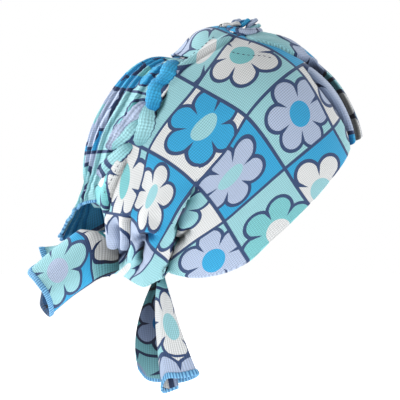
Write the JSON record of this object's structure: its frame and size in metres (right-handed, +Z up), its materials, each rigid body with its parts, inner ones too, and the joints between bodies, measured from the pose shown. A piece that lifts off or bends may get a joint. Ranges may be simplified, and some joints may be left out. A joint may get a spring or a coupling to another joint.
{
  "type": "head wrap",
  "caption": "Soft pre-tied cloth turban with pleated front, gathered seams, full back panel, top knot and folded tie ends at the nape, worn over the head.",
  "frame": {"origin": "inside of the crown's top, where the wrap rests on the head", "axes": "+Z up out of the head's top, +X to the wearer's front, -Y to the wearer's right"},
  "size_m": [0.2932, 0.156, 0.33],
  "materials": {
    "printed_knit": "matte stretch knit with an all-over flower check print in aqua, blue, lavender, off-white and navy",
    "overlock_thread": "matte blue overlock thread"
  },
  "bodies": {
    "root": {"crown": "printed_knit", "back_drape": "printed_knit", "flap_hem": "overlock_thread", "ruffle_right": "printed_knit", "ruffle_left": "printed_knit", "knot_band": "printed_knit", "knot_tuft": "printed_knit", "nape_knot": "printed_knit", "tail_outer": "printed_knit", "tail_outer_hem": "overlock_thread", "tail_hanging": "printed_knit", "tail_hanging_hem": "overlock_thread"}
  },
  "joints": []
}
